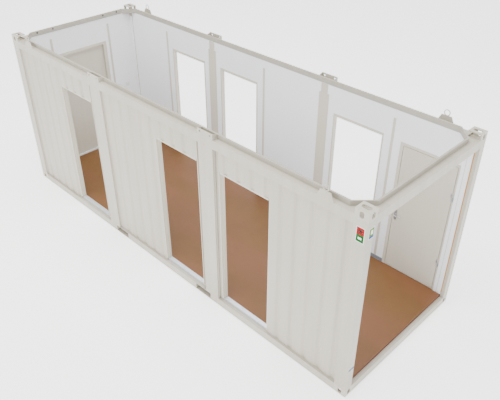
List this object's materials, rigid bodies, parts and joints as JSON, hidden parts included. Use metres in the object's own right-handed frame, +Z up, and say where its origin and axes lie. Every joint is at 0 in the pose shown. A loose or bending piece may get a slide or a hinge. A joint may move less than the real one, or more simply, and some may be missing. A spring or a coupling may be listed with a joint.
{
  "type": "open-topped corridor module of a portable site cabin",
  "caption": "Open-topped steel-framed site cabin module with clad walls, open doorways, hinged doors, corner castings, fork pockets and lifting eyes.",
  "frame": {"origin": "under the middle of the cabin, on the plane that it stands on", "axes": "+X along the length towards the open end, +Y towards the back wall, +Z up"},
  "size_m": [7.335, 2.435, 2.9149],
  "materials": {
    "frame_paint": "satin pearl-grey coating",
    "white_lining": "white faced lining board",
    "beige_trim": "satin beige trim",
    "floor_covering": "mottled brown floor covering with a dark board edge",
    "amber_seal": "amber sealing strip",
    "dark_skirting": "dark blue-grey skirting",
    "threshold_metal": "mill finish threshold plate",
    "switch_plastic": "white moulded switch plate",
    "door_paint": "satin door panel",
    "grey_hardware": "satin grey hinges and levers"
  },
  "bodies": {
    "cabin": {"long_base_rails": "frame_paint", "end_base_rails": "frame_paint", "fork_pockets": "frame_paint", "floor_joists": "frame_paint", "floor_deck": "floor_covering", "bottom_castings": "frame_paint", "corner_posts": "frame_paint", "middle_posts": "frame_paint", "top_castings": "frame_paint", "long_top_rails": "frame_paint", "end_top_rails": "frame_paint", "rain_kerbs": "frame_paint", "corner_plates": "frame_paint", "top_brackets": "frame_paint", "lifting_plates": "frame_paint", "lifting_rings": "frame_paint", "front_wall_panels": "frame_paint", "front_wall_headers": "frame_paint", "back_wall_panels": "frame_paint", "back_wall_headers": "frame_paint", "end_wall_panels": "frame_paint", "end_wall_header": "frame_paint", "front_linings": "white_lining", "back_linings": "white_lining", "end_linings": "white_lining", "header_linings": "white_lining", "joint_strips": "beige_trim", "post_covers": "beige_trim", "end_seals": "amber_seal", "front_jambs": "beige_trim", "back_jambs": "beige_trim", "door_heads": "beige_trim", "thresholds": "threshold_metal", "skirting": "dark_skirting", "back_door_frame": "beige_trim", "back_door_hinges": "grey_hardware", "end_door_frame": "beige_trim", "end_door_hinges": "grey_hardware", "switch_plate": "switch_plastic"},
    "back_door": {"back_door_leaf": "door_paint", "back_door_handles": "grey_hardware", "back_hinge_knuckles": "grey_hardware"},
    "end_door": {"end_door_leaf": "door_paint", "end_door_handles": "grey_hardware", "end_hinge_knuckles": "grey_hardware"}
  },
  "joints": [
    {"name": "back_door_swing", "type": "hinge", "parent": "cabin", "child": "back_door", "pos_m": [3.459, 1.0995, 1.2], "axis": [0, 0, 1], "range_deg": [0, 95]},
    {"name": "end_door_swing", "type": "hinge", "parent": "cabin", "child": "end_door", "pos_m": [-3.6565, -0.4565, 1.2], "axis": [0, 0, 1], "range_deg": [0, 95]}
  ]
}
